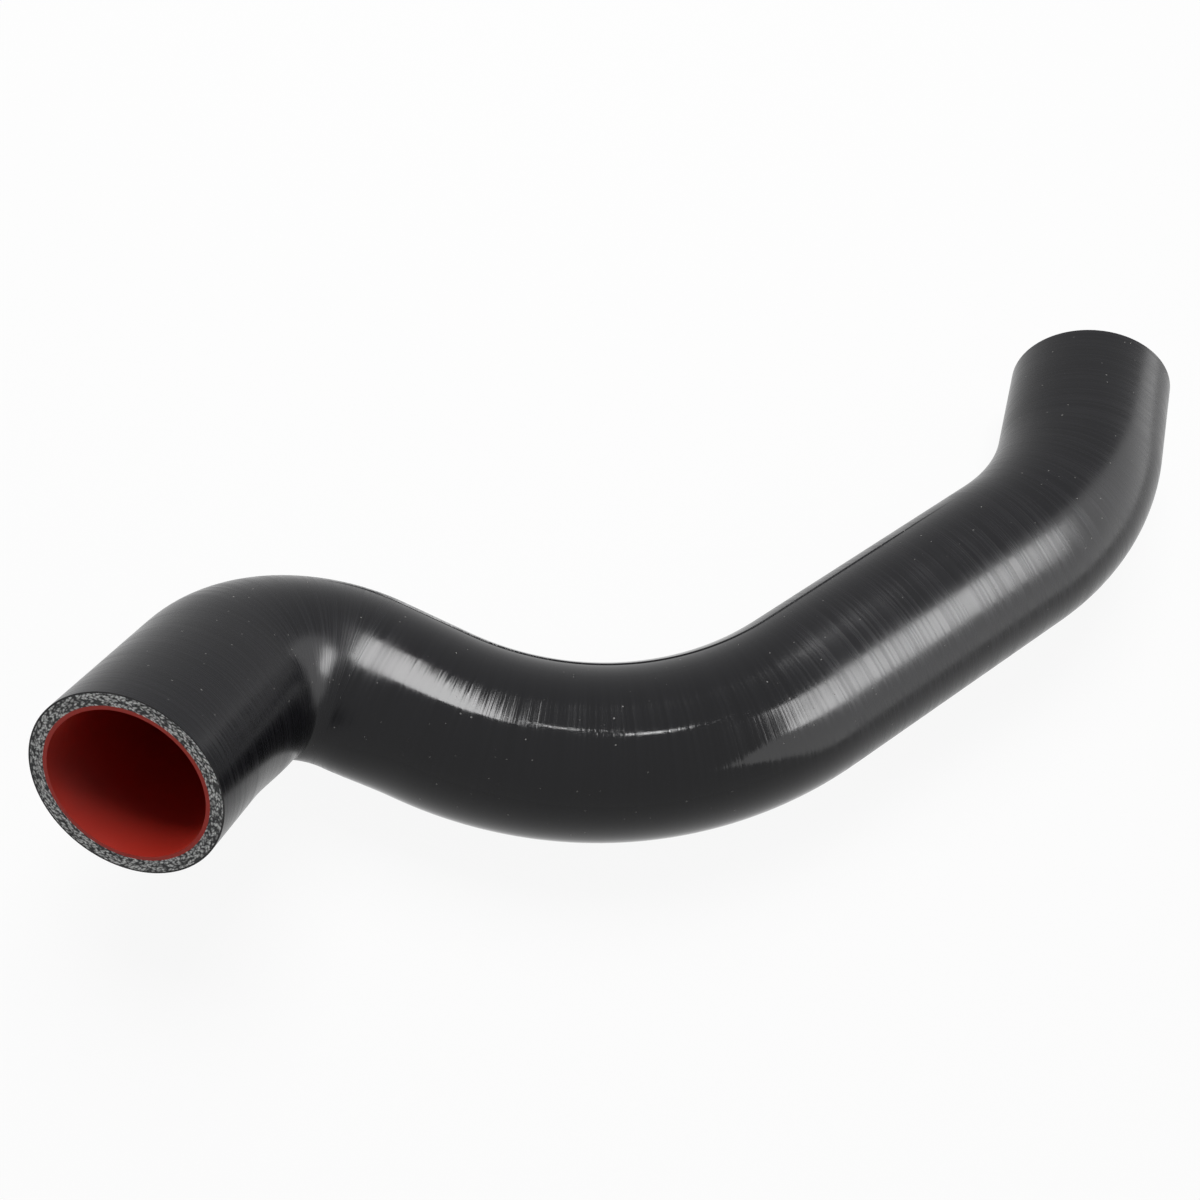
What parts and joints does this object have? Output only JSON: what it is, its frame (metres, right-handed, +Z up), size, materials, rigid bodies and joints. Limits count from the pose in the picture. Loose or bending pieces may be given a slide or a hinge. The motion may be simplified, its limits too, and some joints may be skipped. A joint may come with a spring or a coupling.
{
  "type": "silicone intercooler hose",
  "caption": "Moulded silicone hose with a tight elbow and long sweeping bends, open at the ends, that carries charge air between pipe stubs.",
  "frame": {"origin": "on the surface that the hose lies on, under the middle of its outline", "axes": "+Z up from the surface; the far end opens towards +Y and a little down; the near end opens towards -Y and up; +X from the near end's side to the far end's side"},
  "size_m": [0.3572, 0.3552, 0.1217],
  "materials": {
    "cover": "glossy black wrapped silicone with fine rings round the tube",
    "plies": "cut fabric plies, grey and white yarn ends in black silicone",
    "liner": "satin red silicone liner"
  },
  "bodies": {
    "root": {"hose": "cover"}
  },
  "joints": []
}
